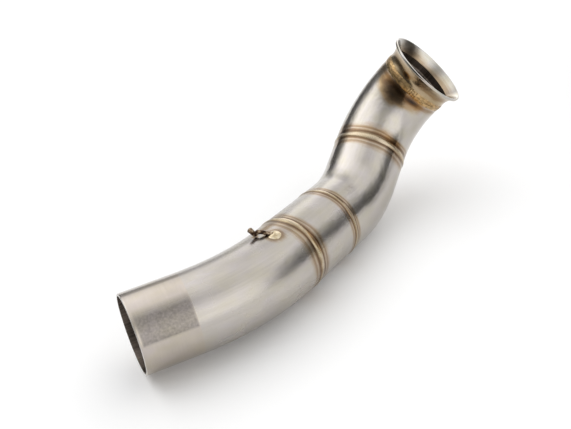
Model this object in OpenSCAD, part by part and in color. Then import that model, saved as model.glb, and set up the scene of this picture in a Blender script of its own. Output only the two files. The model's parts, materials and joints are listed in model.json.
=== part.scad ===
// Motorcycle exhaust header: thin steel tube, bent and butt welded from four lengths,
// with a flared clamp collar at the engine end, a plain slip end for the silencer
// and a bent rod that holds the silencer's spring.
// The origin is the centre of the slip end's mouth. The tube leaves it along +X,
// and the lower bend turns towards +Y in a plane that is nearly level, as it lies at rest
// on the slip end's edge, the centre weld and the start of the middle elbow.

/* [Tubes] */
// Outside diameter of the lower bend
lower_od = 55; // [48:0.5:62]
// Wall of the lower bend
lower_wall = 1.5; // [1:0.1:2.5]
// Outside diameter of the two elbows
upper_od = 54; // [48:0.5:62]
// Wall of the two elbows
upper_wall = 1.2; // [1:0.1:2]
// Metal that bending draws off each side of a bend's wall
bend_loss = 0.02; // [0.01:0.01:0.1]

/* [Lower bend] */
// Length of the straight slip end
slip_l = 39; // [25:1:60]
// Chamfer on the slip end's outer edge
slip_chamfer = 0.4; // [0.1:0.1:0.6]
// Turn of the lower bend's plane about the tube, from level
lower_turn = -5.3; // [-20:0.1:20]
// Centre line radius of the lower bend
lower_bend_r = 140; // [90:1:200]
// Angle of the lower bend
lower_bend_a = 32; // [15:1:50]
// Straight after the lower bend, up to the lower weld
lower_tail_l = 9.5; // [5:0.5:30]

/* [Centre tube] */
// Distance between the lower weld and the centre weld
centre_l = 45; // [25:1:80]
// Straight land on the centre tube beside each weld's crown
land_l = 1; // [0.5:0.5:5]

/* [Middle elbow] */
// Straight before the middle elbow's bend
middle_lead_l = 19; // [5:0.5:40]
// Turn of the middle elbow's bend plane about the tube, from the lower bend's plane
middle_turn = 83; // [40:1:120]
// Centre line radius of the middle elbow
middle_bend_r = 66; // [50:1:120]
// Angle of the middle elbow
middle_bend_a = 32.5; // [15:0.5:60]
// Straight after the middle elbow's bend
middle_tail_l = 22.5; // [5:0.5:40]

/* [Upper elbow] */
// Straight before the upper elbow's bend
upper_lead_l = 4.6; // [4:0.2:30]
// Turn of the upper elbow's bend plane about the tube, from the middle elbow's plane
upper_turn = 71; // [30:1:110]
// Centre line radius of the upper elbow
upper_bend_r = 63; // [50:1:120]
// Angle of the upper elbow
upper_bend_a = 54; // [20:1:80]
// Straight after the upper elbow's bend, up to the collar weld
upper_tail_l = 4.4; // [4:0.2:20]

/* [Flared collar] */
// Length from the collar weld to the rim
collar_l = 14; // [12:0.5:20]
// Length of the plain neck beside the weld
neck_l = 3; // [2.6:0.1:3.4]
// Radius of the hollow flare on the outside
flare_r = 12.5; // [10:0.5:16]
// Outside diameter of the rim
rim_od = 64.2; // [63.8:0.1:72]
// Thickness of the rim's lip
lip_t = 1.8; // [1.2:0.1:2.2]
// Width of the flat face on the rim
face_w = 1.2; // [0.8:0.1:1.6]
// Depth of the inner cone
cone_depth = 7.6; // [6:0.2:8]
// Chamfer on the lip's edges
lip_chamfer = 0.4; // [0.2:0.1:0.5]

/* [Welds] */
// Width of a weld's crown on the tube
bead_w = 4.6; // [3:0.1:6]
// Height of a weld's crown over the tube
bead_h = 0.5; // [0.3:0.1:1]
// Gap between two tube ends, filled by the weld
root_gap = 1; // [0.5:0.1:2]
// Width of the weld's root inside the tube
root_w = 2.6; // [2.2:0.1:4]
// Height of the weld's root inside the tube
root_h = 0.3; // [0.2:0.1:0.6]

/* [Spring hook] */
// Diameter of the hook's rod
rod_d = 3; // [2.5:0.1:4]
// Distance of the hook's middle from the lower weld, back along the tube
hook_back = 21.6; // [16:0.2:40]
// Turn of the hook about the tube, from the top
hook_turn = 5.2; // [-30:0.2:30]
// Turn of the hook's rod away from the tube's own direction
hook_yaw = -49.6; // [-80:0.2:0]
// Distance between the hook's two feet
hook_span = 12.6; // [10:0.2:20]
// Height of the bridge's underside over the tube
hook_clear = 1.4; // [1:0.1:5]
// Lean of the bridge's inner end, in from the inner foot
inner_lean = 1.4; // [0.5:0.1:3]
// Lean of the outer leg, in from the outer foot
outer_lean = 2.9; // [1:0.1:4]
// Rise of the bridge from its inner end to its outer end
bridge_rise = 0.4; // [0.1:0.1:1]
// Depth that the outer foot's rod is melted into the tube
foot_melt = 0.3; // [0.1:0.1:0.8]
// Reach of the free tip past the outer foot
tip_reach = 3.6; // [2:0.1:8]
// Height of the free tip's middle over the tube
tip_h = 5.2; // [3:0.1:9]
// Diameter of the weld puddle at the inner foot
puddle_d = 9; // [7:0.5:12]
// Height of the weld puddle over the tube
puddle_h = 1.4; // [0.8:0.1:2]

/* [Hidden] */
$fn = 96;
half_gap = root_gap / 2;
lower_r = lower_od / 2;
upper_r = upper_od / 2;
lower_bore_r = lower_r - lower_wall;
upper_bore_r = upper_r - upper_wall;
rim_r = rim_od / 2;
mouth_r = rim_r - face_w;
taper_at = bead_w / 2 + land_l;
past = 1;
lap = 0.05;
steel = [0.72, 0.69, 0.65];
bright = [0.78, 0.76, 0.73];
straw = [0.72, 0.60, 0.38];
scorched = [0.36, 0.28, 0.20];

// Stations along the tube

// Moves to the far end of a bend that starts here and turns towards +Y
module past_bend(r, a) {
    translate([0, r, 0]) rotate([0, 0, a]) translate([0, -r, 0]) children();
}

// The end of the straight slip end, turned into the lower bend's plane
module at_lower_bend() {
    translate([slip_l, 0, 0]) rotate([lower_turn, 0, 0]) children();
}

module at_lower_weld() {
    at_lower_bend() past_bend(lower_bend_r, lower_bend_a)
        translate([lower_tail_l, 0, 0]) children();
}

module at_centre_weld() {
    at_lower_weld() translate([centre_l, 0, 0]) children();
}

module at_upper_weld() {
    at_centre_weld() translate([middle_lead_l, 0, 0]) rotate([middle_turn, 0, 0])
        past_bend(middle_bend_r, middle_bend_a)
            translate([middle_tail_l, 0, 0]) children();
}

module at_collar_weld() {
    at_upper_weld() translate([upper_lead_l, 0, 0]) rotate([upper_turn, 0, 0])
        past_bend(upper_bend_r, upper_bend_a)
            translate([upper_tail_l, 0, 0]) children();
}

// Stretches of tube, each along +X from here

// Turns a section drawn as radius and distance about the tube's own line
module turned() {
    rotate([0, 90, 0]) rotate_extrude() children();
}

module straight(from, to, r, bore_r) {
    turned() translate([bore_r, from]) square([r - bore_r, to - from]);
}

module bend(bend_r, a, r, bore_r) {
    translate([0, bend_r, 0]) rotate([0, 0, -90]) rotate_extrude(angle = a)
        translate([bend_r, 0]) difference() {
            circle(r - bend_loss);
            circle(bore_r + bend_loss);
        }
}

// An elbow's lead. The lead and the tail lap the bend's ends, where bending has thinned the wall.
module lead(l) {
    straight(half_gap, l + lap, upper_r, upper_bore_r);
}

// A bend in its own plane and the tail after it
module bend_and_tail(bend_r, a, tail) {
    bend(bend_r, a, upper_r, upper_bore_r);
    past_bend(bend_r, a) straight(-lap, tail - half_gap, upper_r, upper_bore_r);
}

// A ring weld centred here: the filled gap, the crown outside and the root inside
module ring_weld(r, bore_r) {
    crown_r = (pow(bead_w / 2, 2) + pow(bead_h, 2)) / (2 * bead_h);
    root_r = (pow(root_w / 2, 2) + pow(root_h, 2)) / (2 * root_h);
    turned() {
        translate([bore_r, -half_gap]) square([r - bore_r, root_gap]);
        intersection() {
            translate([r + bead_h - crown_r, 0]) circle(crown_r);
            translate([r, -bead_w / 2]) square([bead_h, bead_w]);
        }
        intersection() {
            translate([bore_r - root_h + root_r, 0]) circle(root_r);
            translate([bore_r - root_h, -root_w / 2]) square([root_h, root_w]);
        }
    }
}

// Tubes and collar

module lower_bend() {
    c = slip_chamfer;
    color(steel) {
        turned() polygon([[lower_bore_r, 0], [lower_r - c, 0], [lower_r, c],
                          [lower_r, slip_l + lap], [lower_bore_r, slip_l + lap]]);
        at_lower_bend() {
            bend(lower_bend_r, lower_bend_a, lower_r, lower_bore_r);
            past_bend(lower_bend_r, lower_bend_a)
                straight(-lap, lower_tail_l - half_gap, lower_r, lower_bore_r);
        }
    }
}

// The centre tube tapers between the lower bend's size and the elbows' size
module centre_tube() {
    color(steel) at_lower_weld() turned()
        polygon([[lower_bore_r, half_gap], [lower_r, half_gap],
                 [lower_r, taper_at], [upper_r, centre_l - taper_at],
                 [upper_r, centre_l - half_gap], [upper_bore_r, centre_l - half_gap],
                 [upper_bore_r, centre_l - taper_at], [lower_bore_r, taper_at]]);
}

module middle_elbow() {
    color(steel) at_centre_weld() {
        lead(middle_lead_l);
        translate([middle_lead_l, 0, 0]) rotate([middle_turn, 0, 0])
            bend_and_tail(middle_bend_r, middle_bend_a, middle_tail_l);
    }
}

// The upper elbow is one long bend. It is drawn as two simpler halves that meet in mid bend.
module upper_elbow() {
    color(steel) at_upper_weld() {
        lead(upper_lead_l);
        translate([upper_lead_l, 0, 0]) rotate([upper_turn, 0, 0])
            bend(upper_bend_r, upper_bend_a / 2, upper_r, upper_bore_r);
    }
}

module upper_elbow_end() {
    color(steel) at_upper_weld() translate([upper_lead_l, 0, 0]) rotate([upper_turn, 0, 0])
        past_bend(upper_bend_r, upper_bend_a / 2)
            bend_and_tail(upper_bend_r, upper_bend_a / 2, upper_tail_l);
}

module flared_collar() {
    c = lip_chamfer;
    color(bright) at_collar_weld() turned() difference() {
        union() {
            difference() {
                translate([upper_bore_r, half_gap])
                    square([mouth_r - upper_bore_r, collar_l - half_gap]);
                translate([upper_r, half_gap - past]) square([rim_r, neck_l - half_gap + past]);
                translate([upper_r + flare_r, neck_l]) circle(flare_r);
            }
            polygon([[mouth_r - face_w, collar_l - lip_t], [rim_r - c, collar_l - lip_t],
                     [rim_r, collar_l - lip_t + c], [rim_r, collar_l - c],
                     [rim_r - c, collar_l], [mouth_r - face_w, collar_l]]);
        }
        polygon([[0, collar_l - cone_depth], [upper_bore_r, collar_l - cone_depth],
                 [mouth_r, collar_l], [mouth_r, collar_l + past], [0, collar_l + past]]);
    }
}

// Welds

module weld_lower() {
    color(straw) at_lower_weld() ring_weld(lower_r, lower_bore_r);
}

module weld_centre() {
    color(straw) at_centre_weld() ring_weld(upper_r, upper_bore_r);
}

module weld_upper() {
    color(straw) at_upper_weld() ring_weld(upper_r, upper_bore_r);
}

module weld_collar() {
    color(straw) at_collar_weld() ring_weld(upper_r, upper_bore_r);
}

// Spring hook

// Places its children on the lower bend's skin, with +Z straight out of it
module on_hook_seat() {
    along = hook_back - lower_tail_l;
    past_angle = along / lower_bend_r * 180 / PI;
    at_lower_bend() past_bend(lower_bend_r, lower_bend_a - past_angle)
        rotate([hook_turn, 0, 0]) translate([0, 0, lower_r])
            rotate([0, 0, hook_yaw]) children();
}

// The lower bend with no bore, to cut what is welded on its skin
module lower_bend_solid() {
    at_lower_bend() bend(lower_bend_r, lower_bend_a, lower_r, lower_bore_r - 2 * rod_d, $fn = 240);
}

// A straight stretch of rod with round ends
module rod(from, to) {
    run = to - from;
    l = norm(run);
    translate(from) {
        sphere(d = rod_d + 2 * bend_loss);
        rotate([0, acos(run[2] / l), atan2(run[1], run[0])]) cylinder(h = l, d = rod_d);
    }
    translate(to) sphere(d = rod_d + 2 * bend_loss);
}

// From the puddle, over the bridge, down to the outer foot and up to the free tip
module bent_rod() {
    foot = hook_span / 2;
    bridge_h = hook_clear + rod_d / 2;
    points = [[foot, 0, 0], [foot - inner_lean, 0, bridge_h],
              [outer_lean - foot, 0, bridge_h + bridge_rise],
              [-foot, 0, rod_d / 2 - foot_melt], [-foot - tip_reach, 0, tip_h]];
    for (i = [0 : len(points) - 2]) rod(points[i], points[i + 1]);
}

module spring_hook() {
    color(scorched) difference() {
        on_hook_seat() bent_rod();
        lower_bend_solid();
    }
}

module hook_weld() {
    ball_r = (pow(puddle_d / 2, 2) + pow(puddle_h, 2)) / (2 * puddle_h);
    color(straw) difference() {
        on_hook_seat() translate([hook_span / 2, 0, 0]) intersection() {
            translate([0, 0, puddle_h - ball_r]) sphere(ball_r);
            translate([0, 0, -puddle_h]) cylinder(h = 2 * puddle_h, d = puddle_d);
        }
        lower_bend_solid();
        on_hook_seat() bent_rod();
    }
}

lower_bend();
centre_tube();
middle_elbow();
upper_elbow();
upper_elbow_end();
flared_collar();
weld_lower();
weld_centre();
weld_upper();
weld_collar();
spring_hook();
hook_weld();
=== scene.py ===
# %% [markdown]
# Motorcycle exhaust header, dressed.
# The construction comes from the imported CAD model, which is loaded first and never changed. It has
# twelve nodes, and this script makes eleven finished skins that stand for them, because the upper
# elbow is two nodes there and one bent tube in the real pipe. Each skin gets the finish of the real
# metal, and then come the floor and the studio. Lengths are in metres.

# %% Load the frame
import json
import math

import bmesh
import bpy
import numpy as np
from mathutils import Matrix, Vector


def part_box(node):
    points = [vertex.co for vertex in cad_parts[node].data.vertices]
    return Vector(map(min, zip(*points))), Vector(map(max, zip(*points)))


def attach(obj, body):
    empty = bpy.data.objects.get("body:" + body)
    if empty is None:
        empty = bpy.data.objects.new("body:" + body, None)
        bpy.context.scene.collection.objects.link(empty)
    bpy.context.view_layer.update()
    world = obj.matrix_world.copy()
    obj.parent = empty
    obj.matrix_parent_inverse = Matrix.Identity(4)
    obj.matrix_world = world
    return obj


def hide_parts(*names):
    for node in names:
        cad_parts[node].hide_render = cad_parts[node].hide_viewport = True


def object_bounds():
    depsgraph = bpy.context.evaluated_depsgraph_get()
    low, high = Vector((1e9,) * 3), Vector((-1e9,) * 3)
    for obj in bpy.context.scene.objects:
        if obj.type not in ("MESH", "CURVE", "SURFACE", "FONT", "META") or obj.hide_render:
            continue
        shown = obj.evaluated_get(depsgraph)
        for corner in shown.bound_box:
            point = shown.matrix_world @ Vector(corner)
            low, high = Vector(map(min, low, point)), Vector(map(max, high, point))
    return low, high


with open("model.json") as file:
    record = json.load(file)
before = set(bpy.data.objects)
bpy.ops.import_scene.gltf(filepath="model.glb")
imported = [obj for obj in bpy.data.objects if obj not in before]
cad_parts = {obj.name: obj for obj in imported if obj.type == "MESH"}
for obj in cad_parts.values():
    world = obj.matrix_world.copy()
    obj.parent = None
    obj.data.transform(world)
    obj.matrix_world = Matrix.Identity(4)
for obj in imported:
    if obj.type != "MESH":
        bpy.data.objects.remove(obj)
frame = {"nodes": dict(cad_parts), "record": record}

cad_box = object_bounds()
mm = 0.001
deg = math.pi / 180
print("CAD nodes:", sorted(frame["nodes"]))
print("CAD box in mm:", [[round(v / mm, 1) for v in corner] for corner in cad_box])

# %% [markdown]
# The camera stands where the photographer's did: a little to the left of the pipe's mouth, half a
# metre in front of it and over a third of a metre up, looking down over the pipe with the picture
# turned slightly. Its place and its turns were found by fitting the outline, the weld rings and
# both ends of the pipe.

# %% The camera
CAMERA_AT = (-57.5 * mm, -515.7 * mm, 365.8 * mm)
CAMERA_HEADING = -18.48 * deg
CAMERA_TILT = 59.5 * deg
CAMERA_ROLL = -10.11 * deg
LENS = 62.31
SENSOR = 36.0
NEAREST_SEEN = 0.01


def turn(angle, axis):
    """A rotation by an angle about one of the axes X, Y or Z."""
    return Matrix.Rotation(angle, 4, axis)


camera = bpy.data.objects.new("camera", bpy.data.cameras.new("camera"))
bpy.context.scene.collection.objects.link(camera)
camera.matrix_world = (Matrix.Translation(CAMERA_AT) @ turn(CAMERA_HEADING, "Z")
                       @ turn(CAMERA_TILT, "X") @ turn(CAMERA_ROLL, "Z"))
camera.data.lens = LENS
camera.data.sensor_width = SENSOR
camera.data.clip_start = NEAREST_SEEN
bpy.context.scene.camera = camera
camera_axes = camera.matrix_world.transposed()[:3]
print("camera axes:", [[round(v, 3) for v in axis[:3]] for axis in camera_axes])

# %% [markdown]
# Everything on this pipe follows one line: the middle of the tube. It is straight, bends, is
# straight again and bends twice more, each bend in a plane of its own. The radii come from the
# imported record, because its mounts are measured on the solids. A place on the pipe is given by its
# distance s from the slip end's mouth, and each ring weld is at the end of a run of stretches.

# %% The tube's sizes
mounts = {m["name"]: m for m in frame["record"]["mounts"]}
UPPER_WALL = 1.2 * mm
LOWER_R = mounts["slip_end"]["dims"]["r_mm"] * mm
LOWER_BORE_R = mounts["slip_bore"]["dims"]["r_mm"] * mm
UPPER_BORE_R = mounts["collar_bore"]["dims"]["r_mm"] * mm
UPPER_R = UPPER_BORE_R + UPPER_WALL

SLIP_L = 39 * mm
LOWER_TAIL_L = 9.5 * mm
CENTRE_L = 45 * mm
MIDDLE_LEAD_L = 19 * mm
MIDDLE_TAIL_L = 22.5 * mm
UPPER_LEAD_L = 4.6 * mm
UPPER_TAIL_L = 4.4 * mm
COLLAR_L = 14 * mm
# The plane that each bend turns in, about the tube, from level
LOWER_PLANE = -5.3 * deg
MIDDLE_PLANE = LOWER_PLANE + 83 * deg
UPPER_PLANE = MIDDLE_PLANE + 71 * deg


def straight(length):
    """One straight stretch: its length, no radius and no plane."""
    return length, None, 0.0


def bend(radius, angle, plane):
    """One bent stretch: its length, radius times angle, its radius and its plane."""
    return radius * angle, radius, plane


LOWER_ARC = bend(140 * mm, 32 * deg, LOWER_PLANE)
MIDDLE_ARC = bend(66 * mm, 32.5 * deg, MIDDLE_PLANE)
UPPER_ARC = bend(63 * mm, 54 * deg, UPPER_PLANE)
STRETCHES = (
    straight(SLIP_L), LOWER_ARC,
    straight(LOWER_TAIL_L + CENTRE_L + MIDDLE_LEAD_L), MIDDLE_ARC,
    straight(MIDDLE_TAIL_L + UPPER_LEAD_L), UPPER_ARC,
    straight(UPPER_TAIL_L + COLLAR_L),
)
WELD_LOWER = SLIP_L + LOWER_ARC[0] + LOWER_TAIL_L
WELD_CENTRE = WELD_LOWER + CENTRE_L
WELD_UPPER = WELD_CENTRE + MIDDLE_LEAD_L + MIDDLE_ARC[0] + MIDDLE_TAIL_L
WELD_COLLAR = WELD_UPPER + UPPER_LEAD_L + UPPER_ARC[0] + UPPER_TAIL_L
ring_places = [round(v / mm, 1) for v in (WELD_LOWER, WELD_CENTRE, WELD_UPPER, WELD_COLLAR)]
print("ring welds, in mm from the mouth:", ring_places)

# %% [markdown]
# A frame of three directions is carried along the line without twisting: T runs along the tube, and
# U and V lie across it. So grain and stains that are drawn around the tube don't shear where the
# planes of two bends meet.

# %% The tube's middle line
def walk(start, distance, radius, plane):
    """The line and its frame some distance past a start, on one stretch.

    On a bend of radius r the line turns by a = distance / r towards d = cos(plane) U + sin(plane) V:
    the point moves by r (sin a T + (1 - cos a) d), T becomes cos a T + sin a d, d becomes
    cos a d - sin a T, and U and V change only by their share of what d changed.
    """
    point, T, U, V = start
    distance = np.asarray(distance, float)[..., None]
    if radius is None:
        same = np.ones_like(distance)
        return point + distance * T, same * T, same * U, same * V
    a = distance / radius
    d = math.cos(plane) * U + math.sin(plane) * V
    change = np.cos(a) * d - np.sin(a) * T - d
    return (point + radius * (np.sin(a) * T + (1 - np.cos(a)) * d), np.cos(a) * T + np.sin(a) * d,
            U + math.cos(plane) * change, V + math.sin(plane) * change)


def follow(s):
    """The middle line and its frame (T along, U and V across) at distances s from the mouth."""
    s = np.asarray(s, float)
    found = [np.zeros(s.shape + (3,)) for _ in range(4)]
    start, gone = (np.zeros(3), *np.eye(3)), 0.0
    for number, (length, radius, plane) in enumerate(STRETCHES):
        here = (s >= gone) | (number == 0)
        for kept, new in zip(found, walk(start, s[here] - gone, radius, plane)):
            kept[here] = new
        start = walk(start, length, radius, plane)
        gone += length
    return found


rim_point, rim_axis = (v[0] for v in follow([WELD_COLLAR + COLLAR_L])[:2])
print("rim centre in mm:", (rim_point / mm).round(2), "axis:", rim_axis.round(3))
print("collar axis in the record:", np.round(mounts["collar_rim"]["axis"], 3))

# %% [markdown]
# Heat is what colours this pipe. Beside each weld the steel took on an oxide film, and the film's
# thickness, so its colour, depends only on how hot that spot became. So every skin gets one number
# for each point, its heat, worked out from the distance to each weld, and one colour ramp in the
# material turns that number into straw, brown and gold. The welder's heat wasn't even, so the width
# of each band swells and shrinks slowly around the tube.

# %% Heat from the welds
# The hook's place along the lower bend and around it, and how far it is yawed from the tube's line
HOOK_AT = WELD_LOWER - 21.6 * mm
HOOK_ROUND = 90 * deg + LOWER_PLANE + 5.2 * deg
HOOK_YAW = -49.6 * deg
# Each ring weld: its place, the peak heat, and how far its heat reached before and after it
WELDS = (
    (WELD_LOWER, 1.0, 6.6 * mm, 6.0 * mm),
    (WELD_CENTRE, 1.0, 4.2 * mm, 3.6 * mm),
    (WELD_UPPER, 1.0, 6.2 * mm, 7.2 * mm),
    (WELD_COLLAR, 0.62, 10.0 * mm, 9.5 * mm),
)
# How much a band's width swells around the tube, and the first seed for the sides after the welds
BAND_SWELL = 0.22
SEEDS_AFTER = 20
# The spot where the hook's inner foot was welded on: place, turn, its edge, the reach past it, peak
FOOT_HEAT = (HOOK_AT + 3.8 * mm, HOOK_ROUND + 9.4 * deg, 3.8 * mm, 3.8 * mm, 0.38)


def sway(t, seed, waves=5):
    """A smooth wave around the tube between about -1 and 1: a sum of sines with seeded sizes."""
    draw = np.random.default_rng(seed)
    sizes, phases = draw.uniform(0.3, 1, waves), draw.uniform(0, 2 * np.pi, waves)
    sines = (a * np.sin((k + 1) * t + p) for k, (a, p) in enumerate(zip(sizes, phases)))
    return sum(sines) / sizes.sum()


def apart(t, place):
    """The turn from a place to t the shorter way round, from -pi to pi."""
    return (t - place + np.pi) % (2 * np.pi) - np.pi


def warmth(s, r, t):
    """Heat: for each weld, its peak times exp(-(distance / reach)^2), and the warmest one counts."""
    heat = np.zeros(s.shape)
    for seed, (place, peak, before, after) in enumerate(WELDS):
        reach_before = before * (1 + BAND_SWELL * sway(t, seed))
        reach_after = after * (1 + BAND_SWELL * sway(t, seed + SEEDS_AFTER))
        reach = np.where(s < place, reach_before, reach_after)
        heat = np.maximum(heat, peak * np.exp(-((s - place) / reach) ** 2))
    place, turned, edge, reach, peak = FOOT_HEAT
    beyond = np.maximum(np.hypot(s - place, r * apart(t, turned)) - edge, 0)
    return np.maximum(heat, peak * np.exp(-(beyond / reach) ** 2))


edge_heat = warmth(np.array([WELD_LOWER - 6 * mm]), LOWER_R, np.array([90 * deg]))[0]
print("heat on top, 6 mm before the lower weld:", round(float(edge_heat), 2))

# %% [markdown]
# A few spots were scorched much darker, where the torch stood still: most are by the collar, and
# small ones are by the other welds and the hook's feet. One spot in the list is no scorch but a
# painted dark reflection on the collar's inner cone. They get a number of their own, so that they
# can go on to dark brown and slate without passing through gold again.

# %% Scorched spots
# Each spot: place, turn, half length along, half width around, and how dark it is
SCORCHES_AND_SHADE = (
    (WELD_COLLAR - 8.0 * mm, 107 * deg, 5.5 * mm, 9.0 * mm, 0.16),
    (WELD_COLLAR - 6.5 * mm, 143 * deg, 3.0 * mm, 7.0 * mm, 0.66),
    (WELD_COLLAR - 17.0 * mm, 112 * deg, 9.0 * mm, 8.0 * mm, 0.26),
    (WELD_COLLAR - 12.0 * mm, 126 * deg, 9.0 * mm, 17.0 * mm, 0.24),
    (WELD_COLLAR - 12.0 * mm, 83 * deg, 7.0 * mm, 7.0 * mm, 0.24),
    (WELD_COLLAR + 5.4 * mm, 104 * deg, 1.6 * mm, 3.0 * mm, 0.60),
    # No scorch: a painted dark reflection on the collar's inner cone, which also darkens the flare
    # outside
    (WELD_COLLAR + 10.0 * mm, 350 * deg, 6.0 * mm, 9.0 * mm, 0.80),
    (WELD_LOWER + 1.2 * mm, 143 * deg, 1.6 * mm, 8.0 * mm, 0.45),
    (WELD_UPPER + 4.0 * mm, 150 * deg, 3.0 * mm, 7.0 * mm, 0.30),
    (WELD_UPPER + 9.0 * mm, 122 * deg, 7.0 * mm, 18.0 * mm, 0.13),
    (HOOK_AT - 4.6 * mm, HOOK_ROUND - 11 * deg, 1.8 * mm, 2.2 * mm, 0.45),
    (HOOK_AT + 8.0 * mm, HOOK_ROUND - 14 * deg, 6.0 * mm, 5.0 * mm, 0.20),
)


def darkness(s, r, t):
    """Scorching and one painted dark reflection: for each spot, its strength times
    exp(-(along^2 + around^2)), added up.
    """
    return sum(dark * np.exp(-((s - place) / long) ** 2 - (r * apart(t, turned) / wide) ** 2)
               for place, turned, long, wide, dark in SCORCHES_AND_SHADE)


print("scorched spots:", len(SCORCHES_AND_SHADE), "the darkest:", max(spot[-1] for spot in SCORCHES_AND_SHADE))

# %% [markdown]
# The slip end was rubbed with a coarser cloth on one side, which left a duller patch with a crisp
# outline. The patch is also painted a darker grey, a painted reflection of the dark room. Its number
# is one inside the patch and nothing outside.

# %% The rubbed patch
# From where to where along the tube, and around it from the top edge to the bottom edge
RUBBED_AND_SHADED = (1.5 * mm, 38.2 * mm, 122 * deg, 164 * deg)
# How long the patch takes to fade out at each of its four edges
START_FADE = 1.0 * mm
END_FADE = 0.8 * mm
TOP_FADE = 14 * deg
BOTTOM_FADE = 3 * deg


def rubbed_and_shaded(s, t):
    """The product of four ramps from 0 to 1, one for each edge: soft at the top, crisp elsewhere."""
    start, end, top, bottom = RUBBED_AND_SHADED
    along = np.clip((s - start) / START_FADE, 0, 1) * np.clip((end - s) / END_FADE + 1, 0, 1)
    return (along * np.clip((t - top) / TOP_FADE + 0.5, 0, 1)
            * np.clip((bottom - t) / BOTTOM_FADE + 1, 0, 1))


rubbed_long = (RUBBED_AND_SHADED[1] - RUBBED_AND_SHADED[0]) / mm
rubbed_wide = (RUBBED_AND_SHADED[3] - RUBBED_AND_SHADED[2]) * LOWER_R / mm
print("rubbed patch in mm:", round(rubbed_long, 1), "x", round(rubbed_wide, 1))

# %% [markdown]
# A mesh from a grid of points is the one thing that all the skins share. Each tube is a closed ring
# of profile points carried once around the line, so its grid closes both ways like a doughnut: the
# outside, the end face, the bore and the other end face are one surface with no border.
# Each skin keeps four marks at every point: where it lies on the straightened tube, its heat, its
# scorching, which also holds one painted dark reflection, and where it was rubbed, which also holds
# a painted dark reflection. Grain and stains are drawn in that "unbent" space, so they follow the
# bends and meet all the way round.

# %% Grids into meshes
def put(name, points, marks=None, rows_close=True, finish_of_row=None):
    """Makes a mesh object from a grid of points (rows, columns, 3), with quads between neighbours."""
    rows, columns = points.shape[:2]
    i, j = np.indices((rows if rows_close else rows - 1, columns)).reshape(2, -1)
    below, beside = (i + 1) % rows, (j + 1) % columns
    quads = np.stack([i * columns + j, i * columns + beside,
                      below * columns + beside, below * columns + j], axis=1)
    mesh = bpy.data.meshes.new(name)
    mesh.from_pydata(points.reshape(-1, 3), [], quads)
    for mark, values in (marks or {}).items():
        vector = values.ndim == 3
        kept = mesh.attributes.new(mark, "FLOAT_VECTOR" if vector else "FLOAT", "POINT")
        kept.data.foreach_set("vector" if vector else "value", values.astype(np.float32).ravel())
    if finish_of_row is not None:
        mesh.polygons.foreach_set("material_index", np.asarray(finish_of_row)[i].astype(np.int32))
    mesh.polygons.foreach_set("use_smooth", np.ones(len(i), bool))
    piece = bpy.data.objects.new(name, mesh)
    bpy.context.scene.collection.objects.link(piece)
    print(f"{name}: {len(quads)} quads")
    return piece


def carry(s, r, t):
    """Points at distance r from the middle line, line(s) + r (cos t U + sin t V), and their marks."""
    s, r, t = np.broadcast_arrays(s, r, t)
    point, _, U, V = follow(s)
    cos_t, sin_t = np.cos(t), np.sin(t)
    marks = {"unbent": np.stack([s, r * cos_t, r * sin_t], axis=-1),
             "weld_heat": warmth(s, r, t), "scorch_and_shade": darkness(s, r, t), "rubbed_and_shaded": rubbed_and_shaded(s, t)}
    return point + r[..., None] * (cos_t[..., None] * U + sin_t[..., None] * V), marks


ring_points, ring_marks = carry(np.array([[0.0]]), LOWER_R, np.array([[90 * deg]]))
print("top of the slip end's mouth in mm:", (ring_points[0, 0] / mm).round(1))
print("its marks:", list(ring_marks))

# %% [markdown]
# A profile is made of straight runs and rounded corners, and the points of a run are spread evenly.
# Around the tube 224 points are enough: they lie less than a millimetre apart, and smooth shading
# hides the flats between them.

# %% Profile helpers
def steps(start, end, pitch):
    """Distances from start to end, both kept, no further apart than pitch."""
    return np.linspace(start, end, max(2, math.ceil(abs(end - start) / pitch) + 1))


def rounded(s, r, radius, first, last, count=5):
    """A rounded corner of a profile: an arc about (s, r) from one angle to another, in degrees."""
    a = np.radians(np.linspace(first, last, count))
    return s + radius * np.cos(a), r + radius * np.sin(a)


def circle(count):
    """The turns of evenly spaced points once around the tube."""
    return np.linspace(0, 2 * np.pi, count, endpoint=False)


around = circle(224)[None, :]
apart_mm = 2 * np.pi * LOWER_R / around.size / mm
print("each ring has", around.size, "points,", round(apart_mm, 2), "mm apart")

# %% [markdown]
# A tube starts as a length of pipe that is bent, or tapered, and cut square at both ends. Here it is
# one profile carried round the middle line, and each row of its faces gets the number of a finish:
# satin or sanded outside, a cut face at each end, and the bore.

# %% A tube
# How far apart the rings are, outside and in the bore
PITCH = 1.0 * mm
BORE_PITCH = 2.5 * mm
# A hair's breadth, so that rounding doesn't decide which side of a limit a number is on
HAIR = 1e-9
SATIN, BORE, CUT, SANDED = range(4)


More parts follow.
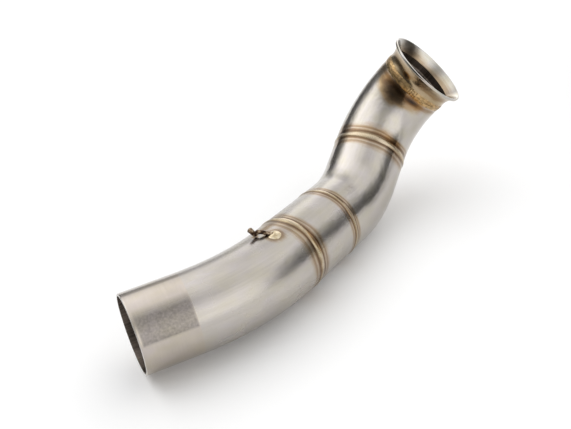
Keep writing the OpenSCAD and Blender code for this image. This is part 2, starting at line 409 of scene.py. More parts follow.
def tube(name, start, end, outside, bore, sanded_to=0.0, eased=0.0, land=0.0):
    """A closed tube: the outside from start to end, the end face, the bore back, the other face.

    outside and bore are the radii at the start and at the end. Each is held over a land at both
    ends and runs straight between the lands. The outside is sanded from the start up to sanded_to,
    and the start's outer edge is eased by a rounding of that radius.
    """
    places = [start, start + land, end - land, end]
    s_out = steps(start + eased, end, PITCH)
    if sanded_to:
        s_out = np.sort(np.append(s_out, sanded_to))
    s_in = steps(end, start, BORE_PITCH)
    r_out = np.interp(s_out, places, np.repeat(outside, 2))
    r_in = np.interp(s_in, places, np.repeat(bore, 2))
    finish_out = np.where(s_out < sanded_to - HAIR, SANDED, SATIN)
    finish_in = np.full(len(s_in), BORE)
    finish_out[-1] = finish_in[-1] = CUT
    s, r, finish = [s_out, s_in], [r_out, r_in], [finish_out, finish_in]
    if eased:
        s_ease, r_ease = rounded(start + eased, outside[0] - eased, eased, 180, 90)
        s.insert(0, s_ease[:-1])
        r.insert(0, r_ease[:-1])
        finish.insert(0, np.full(len(s_ease) - 1, CUT))
    s, r, finish = (np.concatenate(v) for v in (s, r, finish))
    return put(name, *carry(s[:, None], r[:, None], around), finish_of_row=finish)


print("tube finishes, numbered:", dict(satin=SATIN, bore=BORE, cut=CUT, sanded=SANDED))

# %% [markdown]
# The four tubes. The lower bend is the thicker one; its slip end was sanded round to size, so the
# first 39 mm are a finish of their own, and its outer edge was eased. The centre tube tapers from
# the lower bend's size to the elbows' size. The upper elbow runs through to the collar weld.

# %% The four tubes
# Half the gap that each weld fills, the eased edge, and where the centre tube's taper begins
HALF_GAP = 0.5 * mm
EDGE = 0.4 * mm
LAND = 3.3 * mm
lower_bend = tube("lower_bend_skin", 0.0, WELD_LOWER - HALF_GAP, (LOWER_R, LOWER_R),
                  (LOWER_BORE_R, LOWER_BORE_R), sanded_to=SLIP_L, eased=EDGE)
centre_tube = tube("centre_tube_skin", WELD_LOWER + HALF_GAP, WELD_CENTRE - HALF_GAP,
                   (LOWER_R, UPPER_R), (LOWER_BORE_R, UPPER_BORE_R), land=LAND - HALF_GAP)
middle_elbow = tube("middle_elbow_skin", WELD_CENTRE + HALF_GAP, WELD_UPPER - HALF_GAP,
                    (UPPER_R, UPPER_R), (UPPER_BORE_R, UPPER_BORE_R))
upper_elbow = tube("upper_elbow_skin", WELD_UPPER + HALF_GAP, WELD_COLLAR - HALF_GAP,
                   (UPPER_R, UPPER_R), (UPPER_BORE_R, UPPER_BORE_R))

# %% [markdown]
# The collar is a turned ring: a short neck the tube's size, a hollow flare that a clamp pulls on, a
# lip with broken edges, a narrow flat face and a polished cone inside that guides the gas.
# A turned part is a profile spun about its axis, so it is carried round the straight last stretch.

# %% The collar
# The neck's length, the hollow flare's radius, the rim's, and the lip's thickness and flat face
NECK_L = 3 * mm
FLARE_R = 12.5 * mm
RIM_R = 32.1 * mm
LIP_T = 1.8 * mm
FACE_W = 1.2 * mm
# The cone's depth from the face, where the bore begins below it, and the broken edges
CONE_DEPTH = 7.6 * mm
COLLAR_BORE_FROM = COLLAR_L - CONE_DEPTH - 0.3 * mm
LIP_EASE = 0.4 * mm
INNER_EASE = 0.2 * mm
# How finely each stretch is drawn
NECK_PITCH = 0.5 * mm
FLARE_RINGS = 24
CONE_PITCH = 0.6 * mm
COLLAR_BORE_PITCH = 1 * mm
TURNED, POLISHED, COLLAR_BORE = range(3)


def collar_profile():
    """The section as (distance from the weld, radius): neck, flare arc, lip, face, cone and bore."""
    mouth_r = RIM_R - FACE_W
    lip_from = COLLAR_L - LIP_T
    neck_s = steps(HALF_GAP, NECK_L, NECK_PITCH)
    a = np.linspace(0, math.asin((lip_from - NECK_L) / FLARE_R), FLARE_RINGS)[1:]
    deep = steps(CONE_PITCH, CONE_DEPTH, CONE_PITCH)
    bore_s = steps(COLLAR_BORE_FROM, HALF_GAP, COLLAR_BORE_PITCH)
    stretches = [
        (neck_s, np.full(len(neck_s), UPPER_R), TURNED),
        (NECK_L + FLARE_R * np.sin(a), UPPER_R + FLARE_R * (1 - np.cos(a)), TURNED),
        (*rounded(lip_from + LIP_EASE, RIM_R - LIP_EASE, LIP_EASE, 180, 90), POLISHED),
        (*rounded(COLLAR_L - LIP_EASE, RIM_R - LIP_EASE, LIP_EASE, 90, 0), POLISHED),
        (*rounded(COLLAR_L - INNER_EASE, mouth_r + INNER_EASE, INNER_EASE, 0, -60, 4), POLISHED),
        (COLLAR_L - deep, mouth_r - deep / CONE_DEPTH * (mouth_r - UPPER_BORE_R), POLISHED),
        (bore_s, np.full(len(bore_s), UPPER_BORE_R), COLLAR_BORE),
    ]
    s = np.concatenate([v[0] for v in stretches])
    r = np.concatenate([v[1] for v in stretches])
    return s, r, np.concatenate([np.full(len(v[0]), v[2]) for v in stretches])


collar_s, collar_r, collar_finish = collar_profile()
print("collar section:", len(collar_s), "points, widest", round(collar_r.max() / mm, 1), "mm")
collar_grid = carry(WELD_COLLAR + collar_s[:, None], collar_r[:, None], around)
collar = put("flared_collar_skin", *collar_grid, finish_of_row=collar_finish)

# %% [markdown]
# The ring welds were laid by hand, drop by drop. Each drop of filler froze as a thin crescent over
# the last one, so a bead looks like a row of overlapping coins with a wandering edge. The crown
# rises from the tube with no step, which makes it a soft ridge that catches one line of light, and
# the ripples are cut into its height. Inside the tube the same weld shows as a low root.

# %% A ring weld
# The root inside: its width and height, and how far root and crown are sunk into the tube
ROOT_W = 2.6 * mm
ROOT_H = 0.3 * mm
SUNK = 0.04 * mm
# The drops: their length, how far a front bulges, and how unevenly they were spaced and heaped
DROP_PITCH = 1.3 * mm
DROP_BULGE = 0.45
UNEVEN_PACE = 0.8
UNEVEN_HEIGHT = 0.18
# How much the width swells, slowly and quickly around the tube, and how far the middle wanders
SLOW_SWELL = 0.10
QUICK_SWELL = 0.04
WANDER = 0.25 * mm
CROWN, ROOT = range(2)
CROWN_POINTS = 21
ROOT_POINTS = 7
bead_around = circle(1080)[None, :]


def bead(name, place, r, bore_r, seed, width, height, ripple, pitch=DROP_PITCH, rough=1.0, shift=0.0):
    """A ring weld: crown h = H (1 - x^2)^1.5 with x from -1 to 1 across, less the ripples.

    Along the bead each drop is 1 - sqrt(1 - f^2), where f runs from 0 to 1 over one drop, and a
    drop's front bulges: its place is t r / pitch + bulge x^2. The ripple fades at the bead's edges.
    Width, middle, height and pace sway around the tube, and rough multiplies the first three.
    """
    t = bead_around
    flat = 0 * t
    x = np.linspace(-1, 1, CROWN_POINTS)[:, None]
    swell = SLOW_SWELL * rough * sway(t, seed, 9) + QUICK_SWELL * rough * sway(9 * t, seed + 3, 7)
    half_w = width / 2 * (1 + swell)
    middle = place + (shift + WANDER * rough * sway(t, seed + 1, 7))
    per_turn = round(2 * np.pi * r / pitch) * t / (2 * np.pi)
    drops = per_turn + DROP_BULGE * x ** 2 + UNEVEN_PACE * sway(t, seed + 2, 9)
    f = drops - np.floor(drops)
    crown = height * (1 - x ** 2) ** 1.5 * (1 + UNEVEN_HEIGHT * rough * sway(3 * t, seed + 4, 9))
    crown = crown - ripple * (1 - np.sqrt(1 - f ** 2)) * (1 - x ** 4)
    x_root = np.linspace(1, -1, ROOT_POINTS)[:, None]
    web = HALF_GAP * np.array([[1.0], [1.0], [-1.0], [-1.0]])
    web_r = np.array([[r - 2 * SUNK], [bore_r + 2 * SUNK]])
    s = np.concatenate([middle + half_w * x, place + web[:2] + flat,
                        place + ROOT_W / 2 * x_root + flat, place + web[2:] + flat])
    radius = np.concatenate([r - SUNK + np.maximum(crown, 0), web_r + flat,
                             bore_r + SUNK - ROOT_H * (1 - x_root ** 2) + flat, web_r[::-1] + flat])
    finish = np.full(len(s), ROOT)
    finish[:len(x) - 1] = CROWN
    return put(name, *carry(s, radius, t), finish_of_row=finish)


print("drops round the lower weld:", round(2 * np.pi * LOWER_R / DROP_PITCH))

# %% [markdown]
# Three of the beads are even and were wiped clean. The collar's was laid in one wide, coarse pass
# with the torch leaning towards the elbow, so it is broader, rougher and set a little off its joint.

# %% The four ring welds
weld_lower = bead("weld_lower_bead", WELD_LOWER, LOWER_R, LOWER_BORE_R, seed=50,
                  width=5.0 * mm, height=0.50 * mm, ripple=0.09 * mm)
weld_centre = bead("weld_centre_bead", WELD_CENTRE, UPPER_R, UPPER_BORE_R, seed=60,
                   width=4.0 * mm, height=0.42 * mm, ripple=0.08 * mm)
weld_upper = bead("weld_upper_bead", WELD_UPPER, UPPER_R, UPPER_BORE_R, seed=70,
                  width=4.6 * mm, height=0.48 * mm, ripple=0.09 * mm)
weld_collar = bead("weld_collar_bead", WELD_COLLAR, UPPER_R, UPPER_BORE_R, seed=80,
                   width=6.6 * mm, height=0.42 * mm, ripple=0.18 * mm,
                   pitch=1.9 * mm, rough=1.8, shift=-0.7 * mm)

# %% [markdown]
# The spring hook sits askew on the lower bend. Its shape is drawn in a small space of its own, with
# X along the rod and Z out of the tube, and one helper moves points from there onto the tube.

# %% The hook's seat
seat_point, seat_along, seat_u, seat_v = (v[0] for v in follow([HOOK_AT]))
seat_out = math.cos(HOOK_ROUND) * seat_u + math.sin(HOOK_ROUND) * seat_v
seat_side = np.cross(seat_out, seat_along)
SEAT = np.stack([math.cos(HOOK_YAW) * seat_along + math.sin(HOOK_YAW) * seat_side,
                 math.cos(HOOK_YAW) * seat_side - math.sin(HOOK_YAW) * seat_along, seat_out])


def on_seat(local):
    """A grid of points moved from the hook's own space onto the tube's skin."""
    return (seat_point + LOWER_R * seat_out + local.reshape(-1, 3) @ SEAT).reshape(local.shape)


def close_up(piece, distance=1e-6):
    """Merges the points that share a place, such as those at a pole, and turns all faces out."""
    work = bmesh.new()
    work.from_mesh(piece.data)
    bmesh.ops.remove_doubles(work, verts=work.verts, dist=distance)
    bmesh.ops.recalc_face_normals(work, faces=work.faces)
    work.to_mesh(piece.data)
    work.free()
    return piece


print("the hook's seat, from the middle line in mm:", (LOWER_R * seat_out / mm).round(1))

# %% [markdown]
# The spring hook is a short rod bent by hand and tacked on: it rises out of the weld puddle, crosses
# over the tube, dips to its outer foot and ends in a blunt tip that stands up and holds the spring.
# Its middle line is a smooth curve through a few corner points, and a lumpy circle is carried along
# it, with the ends closed in round caps. The torch melted the tip, so it is the thickest place.

# %% The spring hook
# Corner points in the rod's own plane: along the rod, out of the tube, and the rod's radius there
HOOK_CORNERS = np.array([[5.9, -0.3, 1.40], [3.4, 0.4, 1.40], [1.4, 1.2, 1.38], [-0.6, 2.0, 1.38],
                         [-2.6, 2.7, 1.42], [-4.4, 2.9, 1.46], [-5.8, 2.2, 1.46],
                         [-6.9, 1.4, 1.48], [-8.1, 2.9, 1.74], [-9.7, 5.0, 1.90]]) * mm
TIP_BLUNTNESS = 0.6


def smooth_line(corners, count):
    """A Catmull-Rom curve through the corner points: each span is a cubic that takes its slope at
    a corner from the corner's two neighbours."""
    padded = np.vstack([2 * corners[0] - corners[1], corners, 2 * corners[-1] - corners[-2]])
    u = np.linspace(0, len(corners) - 1 - HAIR, count)
    k, f = np.floor(u).astype(int), (u % 1)[:, None]
    a, b, c, d = (padded[k + i] for i in range(4))
    return 0.5 * (2 * b + (c - a) * f + (2 * a - 5 * b + 4 * c - d) * f ** 2
                  + (3 * b - a - 3 * c + d) * f ** 3)


def rod(name, corners, count=110, columns=40, cap=8):
    """A lumpy round rod along a line in the plane of X and Z: line + r lumps (cos t Y + sin t over).

    Each end closes in a cap whose radius is r sin a and whose place is r cos a past the end. The
    lumps are two waves that wind around the rod, of 5 and 3 percent of its radius.
    """
    path = smooth_line(corners, count)
    line, r = np.insert(path[:, :2], 1, 0.0, axis=1), path[:, 2]
    ahead = np.gradient(line, axis=0)
    ahead /= np.linalg.norm(ahead, axis=1)[:, None]
    a = np.linspace(0, np.pi / 2, cap, endpoint=False)
    begin = line[0] - r[0] * np.cos(a)[:, None] * ahead[0]
    finish = (line[-1] + TIP_BLUNTNESS * r[-1] * np.cos(a)[:, None] * ahead[-1])[::-1]
    middle = np.vstack([begin, line, finish])
    ahead = np.vstack([np.repeat(ahead[:1], cap, 0), ahead, np.repeat(ahead[-1:], cap, 0)])
    radius = np.concatenate([r[0] * np.sin(a), r, r[-1] * np.sin(a)[::-1]])
    across = np.broadcast_to([0.0, 1.0, 0.0], middle.shape)
    over = np.cross(ahead, across)
    t = circle(columns)[None, :]
    u = np.linspace(0, 1, len(middle))[:, None]
    lumps = 1 + 0.05 * np.sin(2 * t + 23 * u) * np.sin(31 * u) + 0.03 * np.sin(5 * t - 41 * u)
    ring = np.cos(t)[..., None] * across[:, None] + np.sin(t)[..., None] * over[:, None]
    local = middle[:, None] + (radius[:, None] * lumps)[..., None] * ring
    return put(name, on_seat(local), rows_close=False)


spring_hook = close_up(rod("spring_hook_rod", HOOK_CORNERS))

# %% [markdown]
# The puddle is the blob of filler that holds the hook's inner foot. It spread and froze in a low,
# lumpy dome whose edge runs out smoothly on the tube. It is a dome in polar coordinates, with slow
# waves in its outline and height, closed by a flat underside inside the tube's wall.

# %% The weld puddle
# Its middle on the hook's X, its radius, its height, and how far its underside is sunk
PUDDLE_AT = 5.8 * mm
PUDDLE_R = 4.6 * mm
PUDDLE_H = 1.6 * mm
PUDDLE_UNDER = 0.9 * mm
PUDDLE_SEED = 90


def puddle(name, columns=96, rings=30):
    """A dome z = H (1 - q^2)^1.3 over q from 0 to 1, lowered by y^2 / 2R to the tube's round.

    Its edge sways by 7 percent, and its lumps are 1 + 0.35 q (1 - q) sin(4 t + 5 q).
    """
    t = circle(columns)[None, :]
    q = np.linspace(0, 1, rings)[:, None]
    edge = PUDDLE_R * (1 + 0.07 * sway(t, PUDDLE_SEED, 6))
    x, y = q * edge * np.cos(t), q * edge * np.sin(t)
    lumps = 1 + 0.35 * q * (1 - q) * np.sin(4 * t + 5 * q)
    top = np.stack([x, y, PUDDLE_H * lumps * (1 - q ** 2) ** 1.3], axis=-1)
    bottom = np.stack([x, y, 0 * x - PUDDLE_UNDER], axis=-1)[::-1]
    local = np.concatenate([top, bottom])
    local[..., 0] += PUDDLE_AT
    round_tube = local[..., 1] * math.cos(HOOK_YAW) + local[..., 0] * math.sin(HOOK_YAW)
    local[..., 2] -= round_tube ** 2 / (2 * LOWER_R)
    return put(name, on_seat(local), rows_close=False)


hook_weld = close_up(puddle("hook_weld_puddle"))

# %% [markdown]
# Materials. Colours are written as sRGB hex values, the way a paint program shows them, and one
# function turns them into the linear values that Blender mixes. One more function adds a node with
# its settings and links, and its inputs are filled by a helper that also serves the shader, which
# is there from the start. Numbers that are the same all over go straight on the shader.

# %% Node helpers
def linear(hex_colour, alpha=1.0):
    """An sRGB colour such as "C8C1B9" as linear red, green, blue and alpha."""
    values = [int(hex_colour[k:k + 2], 16) / 255 for k in (0, 2, 4)]
    return (*[v / 12.92 if v <= 0.04045 else ((v + 0.055) / 1.055) ** 2.4 for v in values], alpha)


def fill(tree, made, inputs):
    """Fills a node's inputs. A node gives its first output, an output is linked, and a value is set."""
    for socket, value in inputs.items():
        if isinstance(value, bpy.types.Node):
            value = value.outputs[0]
        if isinstance(value, bpy.types.NodeSocket):
            tree.links.new(value, made.inputs[socket])
        else:
            made.inputs[socket].default_value = value


def node(tree, kind, inputs=None, stops=(), **settings):
    """Adds one node: its own settings, its inputs, and the (place, hex colour) stops of a ramp."""
    made = tree.nodes.new(kind)
    for key, value in settings.items():
        setattr(made, key, value)
    fill(tree, made, inputs or {})
    if stops:
        elements = made.color_ramp.elements
        for element, (place, colour) in zip(elements, (stops[0], stops[-1])):
            element.position, element.color = place, linear(colour)
        for place, colour in stops[1:-1]:
            elements.new(place).color = linear(colour)
    return made


def new_material(name):
    """An empty material: itself, its tree, and the shader node that the finish is linked to."""
    material = bpy.data.materials.new(name)
    material.use_nodes = True
    tree = material.node_tree
    return material, tree, next(n for n in tree.nodes if n.type == "BSDF_PRINCIPLED")


print("mid grey 808080 is", round(linear("808080")[0], 3), "in linear light")

# %% [markdown]
# Grain, clouds and stains all start from noise on the straightened tube, stretched to the length
# and width that the real marks have. A noise's values gather round its middle, so its middle range
# is what gets spread onto a range of brightness or roughness.

# %% Patterns on the straightened tube
MIDDLE_RANGE = {"From Min": 0.3, "From Max": 0.7}
# Each pattern: the length of its marks along the tube, their width around it, and its detail
CLOUDS = (26 * mm, 15 * mm, 2.0)
WARM_PATCHES = (14 * mm, 8 * mm, 4.0)
UNEVEN_FILM = (6 * mm, 10 * mm, 4.0)
FILM_RINGS = (1.1 * mm, 25 * mm, 2.0)
SCRATCHES = (1.6 * mm, 1.6 * mm, 4.0)
# Brushing marks are finer than a pixel, so they are drawn about 1 mm apart to show at all
LONG_GRAIN = (30 * mm, 1.2 * mm, 2.0)
ROUND_GRAIN = (0.9 * mm, 18 * mm, 2.0)
LUMPS = (1.1 * mm, 2.4 * mm, 2.0)


def marks_on_tube(tree, along, wide, detail):
    """A noise on the straightened tube whose marks have a given length along it and width round it."""
    place = node(tree, "ShaderNodeAttribute", attribute_name="unbent").outputs["Vector"]
    per_metre = (1 / along, 1 / wide, 1 / wide)
    scaled = node(tree, "ShaderNodeVectorMath", {0: place, 1: per_metre}, operation="MULTIPLY")
    return node(tree, "ShaderNodeTexNoise", {"Vector": scaled, "Scale": 1.0, "Detail": detail})


print("clouds in the polish:", round(CLOUDS[0] / mm), "mm long and", round(CLOUDS[1] / mm), "mm wide")

# %% [markdown]
# The heat number becomes the colour of the oxide film, which multiplies the metal's own colour. It
# was wiped after welding, so the bands are pale: straw, a brown line, a pale band, a broader brown
# one and the golden bead. Where the torch stood still the film went on to dark brown and slate, and
# inside the collar's cone one dark patch is a painted reflection. Clouds and thin rings make the edge
# of each band uneven.

# %% Oxide film and scorching
# (number, colour) stops: of the oxide film by its heat, then of the scorched spots, and of the
# painted dark reflection in the collar's cone
OXIDE = ((0.07, "FFFFFF"), (0.18, "F3EADF"), (0.30, "D3C0AA"), (0.42, "CCB79F"), (0.52, "F1E6D8"),
         (0.61, "EADBC6"), (0.73, "B79E85"), (0.84, "8C735E"), (0.91, "B7A48B"), (1.00, "F6EEE0"))
SCORCH = ((0.04, "FFFFFF"), (0.16, "E8D0AE"), (0.34, "B69C80"), (0.52, "928378"), (0.70, "726E70"),
          (0.86, "5E5D62"), (1.00, "4A474C"))
# The cone's ramp paints a dark reflection where the scorch mark holds it
CONE_REFLECTION_SHADE = ((0.05, "FFFFFF"), (0.45, "8F8C89"), (1.00, "3A3838"))
# How far the clouds and the rings shift the heat, and how they thin and thicken a scorched spot
UNEVEN_BY = 0.04
RINGS_BY = 0.03
PATCHY = (0.60, 1.30)


def films(tree, burnt_and_shade):
    """The oxide film's colour as one ramp, and the scorch mark's colour as a second one, which on the
    cone is a painted dark reflection.
    """
    heat = node(tree, "ShaderNodeAttribute", attribute_name="weld_heat").outputs["Fac"]
    scorch_and_shade = node(tree, "ShaderNodeAttribute", attribute_name="scorch_and_shade").outputs["Fac"]
    uneven, rings = marks_on_tube(tree, *UNEVEN_FILM), marks_on_tube(tree, *FILM_RINGS)
    for noise, much in ((uneven, UNEVEN_BY), (rings, RINGS_BY)):
        flicker = node(tree, "ShaderNodeMapRange",
                       {"Value": noise, **MIDDLE_RANGE, "To Min": -much, "To Max": much})
        heat = node(tree, "ShaderNodeMath", {0: heat, 1: flicker}, operation="ADD")
    patchy = node(tree, "ShaderNodeMapRange",
                  {"Value": uneven, **MIDDLE_RANGE, "To Min": PATCHY[0], "To Max": PATCHY[1]})
    scorch_and_shade = node(tree, "ShaderNodeMath", {0: scorch_and_shade, 1: patchy}, operation="MULTIPLY")
    return [node(tree, "ShaderNodeValToRGB", {"Fac": heat}, stops=OXIDE),
            node(tree, "ShaderNodeValToRGB", {"Fac": scorch_and_shade}, stops=burnt_and_shade)]


print("heat where the film is darkest:", min(OXIDE, key=lambda stop: linear(stop[1])[0])[0])

# %% [markdown]
# A rubbed patch is duller than the sanded steel round it: its scratches are short and cross each
# other, so it gets more roughness. It is also painted a darker grey, broken by a fine noise of its
# own: a painted reflection of the dark room.

# %% The rubbed finish
# The rubbed patch's painted dark reflection: grey stops, and how light the scratch noise can leave it
RUB_SHADE = ((0.0, "FFFFFF"), (0.75, "DADBDE"), (1.0, "B9B9BD"))
LEAST_SHADE = 0.75
RUBBED_ROUGHER = 0.14


def rub_and_shade_in(tree, rough):
    """The patch's painted dark reflection as a ramp, and the roughness with the patch's own share
    added.
    """
    worn_and_shaded = node(tree, "ShaderNodeAttribute", attribute_name="rubbed_and_shaded").outputs["Fac"]
    scratches = marks_on_tube(tree, *SCRATCHES)
    unevenness = node(tree, "ShaderNodeMapRange",
                {"Value": scratches, **MIDDLE_RANGE, "To Min": LEAST_SHADE, "To Max": 1.0})
    painted_shade = node(tree, "ShaderNodeMath", {0: worn_and_shaded, 1: unevenness}, operation="MULTIPLY")
    rougher = node(tree, "ShaderNodeMath", {0: worn_and_shaded, 1: RUBBED_ROUGHER, 2: rough},
                   operation="MULTIPLY_ADD")
    return node(tree, "ShaderNodeValToRGB", {"Fac": painted_shade}, stops=RUB_SHADE), rougher


print("the rubbed patch is rougher by", RUBBED_ROUGHER)

# %% [markdown]
# Stainless steel. The tubes are 304 stainless, brushed and then lightly polished: the eye sees broad
# soft highlights in a warm grey, a faint grain, and cloudy patches where the polish is uneven, some
# of them warmer than others. Polishing by hand also leaves slow waves in the surface, too low to see
# in the outline, and they are what mottles the reflections.

# %% Stainless steel
WARM_AND_COOL = (0.93, 1.05)


def steel(name, colour, rough, grain, depth, waves=0.0, cloud=0.11, streak=0.06, burnt_and_shade=SCORCH,
          rub_and_shade=False):
    """Bare steel: its colour times clouds and grain, times each film, with the grain as a bump.

    rough is the lowest and highest roughness. depth and waves are how far the grain and the slow
    waves go in and out. cloud and streak are how much they darken the colour. burnt is the ramp
    for the scorched spots, and on the cone for a painted dark reflection, or None on metal that has
    no film.
    """
    material, tree, shader = new_material(name)
    clouds, fine, warm = (marks_on_tube(tree, *marks) for marks in (CLOUDS, grain, WARM_PATCHES))
    ranges = ((clouds, -cloud, 0.0), (fine, 1 - streak, 1.0), (warm, *WARM_AND_COOL),
              (clouds, *rough))
    shade, line, cool, roughness = (
        node(tree, "ShaderNodeMapRange",
             {"Value": noise, **MIDDLE_RANGE, "To Min": low, "To Max": high})
        for noise, low, high in ranges)
    tone = node(tree, "ShaderNodeMath", {0: shade, 1: line}, operation="ADD")
    blue = node(tree, "ShaderNodeMath", {0: tone, 1: cool}, operation="MULTIPLY")
    layers = [node(tree, "ShaderNodeCombineColor", {"Red": tone, "Green": tone, "Blue": blue})]
    if burnt_and_shade:
        layers += films(tree, burnt_and_shade)
    # The rubbed patch adds roughness and a painted dark reflection
    if rub_and_shade:
        rub_shade, roughness = rub_and_shade_in(tree, roughness)
        layers.append(rub_shade)
    # In a colour mix, inputs 6 and 7 are the two colours, and output 2 is the result
    base = linear(colour)
    for layer in layers:
        base = node(tree, "ShaderNodeMix", {"Factor": 1.0, 6: base, 7: layer}, data_type="RGBA",
                    blend_type="MULTIPLY").outputs[2]
    grooves = node(tree, "ShaderNodeMath", {0: fine, 1: depth}, operation="MULTIPLY")
    swells = node(tree, "ShaderNodeMath", {0: warm, 1: waves}, operation="MULTIPLY")
    height = node(tree, "ShaderNodeMath", {0: grooves, 1: swells}, operation="ADD")
    bump = node(tree, "ShaderNodeBump", {"Height": height, "Strength": 1.0, "Distance": 1.0})
    fill(tree, shader, {"Base Color": base, "Roughness": roughness, "Normal": bump, "Metallic": 1.0})
    print(f"{name}: colour {colour}, roughness {rough[0]} to {rough[1]}")
    return material


print("warm and cool patches shift the blue by", WARM_AND_COOL)

# %% [markdown]
# Nine surfaces of this pipe are bare steel, and they differ in how they were made. What was brushed
# or polished lengthwise has long grain, and what was sanded or turned in a lathe has grain around it.
# Filler metal is creamier than the tube, because it froze from the melt and kept more of its film.

# %% The steel finishes
# Brushed tube: soft, slightly mottled highlights. The elbows were polished further and mirror more
satin_steel = steel("satin stainless tube", "BDB7B0", (0.23, 0.29), LONG_GRAIN, 0.002 * mm,
                    waves=0.22 * mm)
elbow_steel = steel("polished stainless elbow", "BDB7B0", (0.17, 0.22), LONG_GRAIN, 0.001 * mm,
                    waves=0.30 * mm)
# Sanded or turned round: fine rings that spread a highlight along the tube
# Its rubbed patch is rougher and painted darker: a painted dark reflection
sanded_steel = steel("slip end sanded round", "BCB3A9", (0.17, 0.22), ROUND_GRAIN, 0.003 * mm,
                     streak=0.05, rub_and_shade=True)
turned_steel = steel("turned collar", "BDB19B", (0.18, 0.26), ROUND_GRAIN, 0.006 * mm, streak=0.10)
# The cone's dark patch is painted: a painted dark reflection, laid on by its scorch ramp
cone_steel = steel("polished collar cone", "C2BEB7", (0.12, 0.18), ROUND_GRAIN, 0.002 * mm,
                   burnt_and_shade=CONE_REFLECTION_SHADE)
# Cut ends are bright, bare edges, and the bore is brown and dull with streaks of soot
cut_steel = steel("cut tube end", "CFCAC3", (0.28, 0.38), ROUND_GRAIN, 0.004 * mm, burnt_and_shade=None)
bore_steel = steel("sooty bore", "A09388", (0.30, 0.40), LONG_GRAIN, 0.006 * mm,
                   cloud=0.30, streak=0.45, burnt_and_shade=None)
# Weld beads: a creamy gleam where they were wiped, and a rough golden glitter at the collar
bead_steel = steel("wiped weld bead", "D2C9BA", (0.22, 0.30), ROUND_GRAIN, 0.012 * mm, streak=0.20)
gold_steel = steel("rough golden weld", "E4CDA4", (0.22, 0.34), LUMPS, 0.24 * mm, streak=0.60)

# %% [markdown]
# The hook was never cleaned after it was welded, so it kept the scorched skin of a rod that glowed:
# dark brown and black, rough, with a dull gleam. The puddle beside it is bare weld metal, cream
# with a straw tint. Neither lies along the tube, so their patches are drawn in plain space.

# %% Scorched rod and cream puddle
ROD_STOPS = ((0.34, "1E1814"), (0.47, "4E3B2E"), (0.58, "85705B"), (0.70, "C2B199"))
PUDDLE_STOPS = ((0.34, "A99678"), (0.50, "C9BB9E"), (0.68, "DDD2BE"))


def mottled(name, stops, rough, patch, grit):
    """A mottled skin: a noise with patches of a given size picks the colour, a finer one is grit."""
    material, tree, shader = new_material(name)
    place = node(tree, "ShaderNodeTexCoord").outputs["Object"]
    mottle = node(tree, "ShaderNodeTexNoise", {"Vector": place, "Scale": 1 / patch, "Detail": 4.0})
    fine = node(tree, "ShaderNodeTexNoise", {"Vector": place, "Scale": 3 / patch, "Detail": 2.0})
    roughness = node(tree, "ShaderNodeMapRange",
                     {"Value": mottle, **MIDDLE_RANGE, "To Min": rough[0], "To Max": rough[1]})
    colour = node(tree, "ShaderNodeValToRGB", {"Fac": mottle}, stops=stops)
    bump = node(tree, "ShaderNodeBump", {"Height": fine, "Strength": 1.0, "Distance": grit})
    fill(tree, shader, {"Base Color": colour, "Roughness": roughness, "Normal": bump, "Metallic": 1.0})
    return material


scorched_rod = mottled("scorched rod", ROD_STOPS, (0.30, 0.50), 2.4 * mm, 0.14 * mm)
cream_puddle = mottled("cream weld puddle", PUDDLE_STOPS, (0.24, 0.36), 3.0 * mm, 0.05 * mm)
print("mottled finishes:", scorched_rod.name, "and", cream_puddle.name)

# %% [markdown]
# Now each skin gets its finishes, in the order of the numbers that its rows of faces carry, rides on
# the CAD model's root body, and hides the nodes that it stands for. Edges sharper than 40 degrees
# stay crisp. The last lines measure how far the skin reaches past its solid.

# %% Finishes, body and nodes
def box_of(mesh):
    """A mesh's lowest and highest corners."""
    points = np.empty(3 * len(mesh.vertices), np.float32)
    mesh.vertices.foreach_get("co", points)
    points = points.reshape(-1, 3)
    return points.min(0), points.max(0)


SHARP_FROM = 40 * deg
TUBE_FINISHES = (bore_steel, cut_steel)
PIECES = (
    (lower_bend, ("lower_bend",), "tube", (satin_steel, *TUBE_FINISHES, sanded_steel)),
    (centre_tube, ("centre_tube",), "tube", (satin_steel, *TUBE_FINISHES)),
    (middle_elbow, ("middle_elbow",), "tube", (elbow_steel, *TUBE_FINISHES)),
    (upper_elbow, ("upper_elbow", "upper_elbow_end"), "tube", (elbow_steel, *TUBE_FINISHES)),
    (collar, ("flared_collar",), "collar", (turned_steel, cone_steel, bore_steel)),
    (weld_lower, ("weld_lower",), "weld", (bead_steel, bore_steel)),
    (weld_centre, ("weld_centre",), "weld", (bead_steel, bore_steel)),
    (weld_upper, ("weld_upper",), "weld", (bead_steel, bore_steel)),
    (weld_collar, ("weld_collar",), "weld", (gold_steel, bore_steel)),
    (spring_hook, ("spring_hook",), "hook", (scorched_rod,)),
    (hook_weld, ("hook_weld",), "weld", (cream_puddle,)),
)
for piece, nodes, slot, finishes in PIECES:
    for finish in finishes:
        piece.data.materials.append(finish)
    piece.data.set_sharp_from_angle(angle=SHARP_FROM)
    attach(piece, "root")
    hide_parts(*nodes)
    solids = np.array([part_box(name) for name in nodes])
    low, high = box_of(piece.data)
    beyond = max((solids[:, 0].min(0) - low).max(), (high - solids[:, 1].max(0)).max())
    print(f"{piece.name}: past its solid's box by {beyond / mm:.2f} mm")

# %% [markdown]
# The pipe lies on a wide white table at its lowest point. To the right, outside the picture, the
# table fades to grey: painted shade, which the steel mirrors, and which helps to draw the dark band
# along the right side of both elbows.

# %% The floor
FLOOR_Z = cad_box[0][2]
FLOOR_HALF = 12.0
# The painted shade: its middle, how far from there it is full, and where it has faded out
SHADE_AT = (0.78, -0.08, FLOOR_Z)
SHADE_FULL = 0.05
SHADE_GONE = 0.52
TABLE_WHITE = linear("FDFDFD")
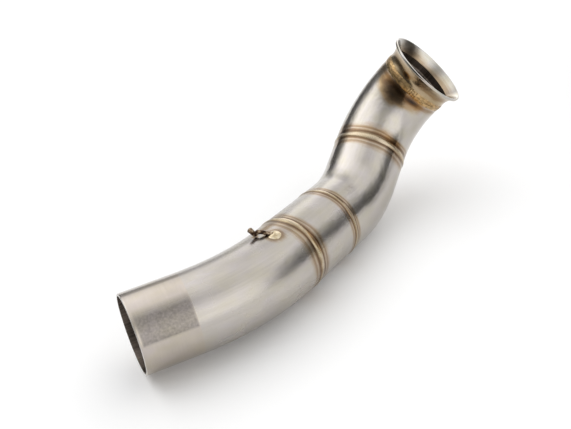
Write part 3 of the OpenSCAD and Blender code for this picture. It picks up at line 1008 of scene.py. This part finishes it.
# Painted shade: the grey that the table fades to on the right
PAINTED_SHADE_GREY = linear("B6B6B6")
corners = [(x * FLOOR_HALF, y * FLOOR_HALF, FLOOR_Z) for x, y in ((-1, -1), (1, -1), (1, 1), (-1, 1))]
floor_mesh = bpy.data.meshes.new("floor")
floor_mesh.from_pydata(corners, [], [(0, 1, 2, 3)])
floor = bpy.data.objects.new("floor", floor_mesh)
bpy.context.scene.collection.objects.link(floor)
table, tree, table_shader = new_material("white table with painted shade")
spot = node(tree, "ShaderNodeTexCoord").outputs["Object"]
away = node(tree, "ShaderNodeVectorMath", {0: spot, 1: SHADE_AT}, operation="DISTANCE")
shade_share = node(tree, "ShaderNodeMapRange", {"Value": away.outputs["Value"], "From Min": SHADE_GONE,
                                          "From Max": SHADE_FULL, "To Min": 0.0, "To Max": 1.0},
             interpolation_type="SMOOTHSTEP")
white_to_shade = node(tree, "ShaderNodeMix", {"Factor": shade_share, 6: TABLE_WHITE, 7: PAINTED_SHADE_GREY},
                      data_type="RGBA")
# Matt white paint: no highlight, only a soft shadow, and the painted grey shade to the right
fill(tree, table_shader, {"Base Color": white_to_shade.outputs[2], "Roughness": 0.9,
                          "Specular IOR Level": 0.1})
floor_mesh.materials.append(table)
print("floor at", round(FLOOR_Z / mm, 2), "mm")

# %% [markdown]
# Polished steel shows the room more than itself, so the studio matters as much as the metal. It is
# painted on the sky: an evenly lit white room, soft boxes that add light, and black flags that take
# it away near the horizon, where the photographer stood and the room was unlit. Each one is a
# direction and a size, and it fades out softly at its edge.

# %% The studio
# The room's own brightness, before the boxes and the flags
ROOM = 0.69
# Azimuth from +Y towards +X, elevation, full within, gone by (all in degrees), and strength
SOFT_BOXES = ((-54, 57, 25, 55, 0.66), (-41, 11, 2, 85, 0.91), (44, 0, 2, 45, 1.30),
              (94, 50, 2, 42, 0.50), (158, 15, 2, 44, 0.84))
FLAGS = ((-99, -8, 39, 75, 0.91), (105, 0, 4, 36, 0.82), (-28, -8, 25, 52, 0.92),
         (11, 14, 3, 12, 0.50))
scene = bpy.context.scene
scene.view_settings.view_transform = "Standard"
world = bpy.data.worlds.new("studio")
world.use_nodes = True
scene.world = world
sky = world.node_tree
sky.nodes.clear()
direction = node(sky, "ShaderNodeTexCoord").outputs["Generated"]


def sky_patch(azimuth, elevation, full, gone, at_edge, inside):
    """A round patch of sky: a smooth step on the cosine of the angle from its middle."""
    a, e = math.radians(azimuth), math.radians(elevation)
    middle = (math.sin(a) * math.cos(e), math.cos(a) * math.cos(e), math.sin(e))
    facing = node(sky, "ShaderNodeVectorMath", {0: direction, 1: middle}, operation="DOT_PRODUCT")
    return node(sky, "ShaderNodeMapRange",
                {"Value": facing.outputs["Value"], "From Min": math.cos(math.radians(gone)),
                 "From Max": math.cos(math.radians(full)), "To Min": at_edge, "To Max": inside},
                interpolation_type="SMOOTHSTEP")


light = ROOM
for *place, strength in SOFT_BOXES:
    light = node(sky, "ShaderNodeMath", {0: light, 1: sky_patch(*place, 0.0, strength)},
                 operation="ADD")
for *place, strength in FLAGS:
    light = node(sky, "ShaderNodeMath", {0: light, 1: sky_patch(*place, 1.0, 1.0 - strength)},
                 operation="MULTIPLY")
background = node(sky, "ShaderNodeBackground", {"Color": linear("FFFFFF"), "Strength": light})
node(sky, "ShaderNodeOutputWorld", {"Surface": background})
print("soft boxes:", len(SOFT_BOXES), "flags:", len(FLAGS))
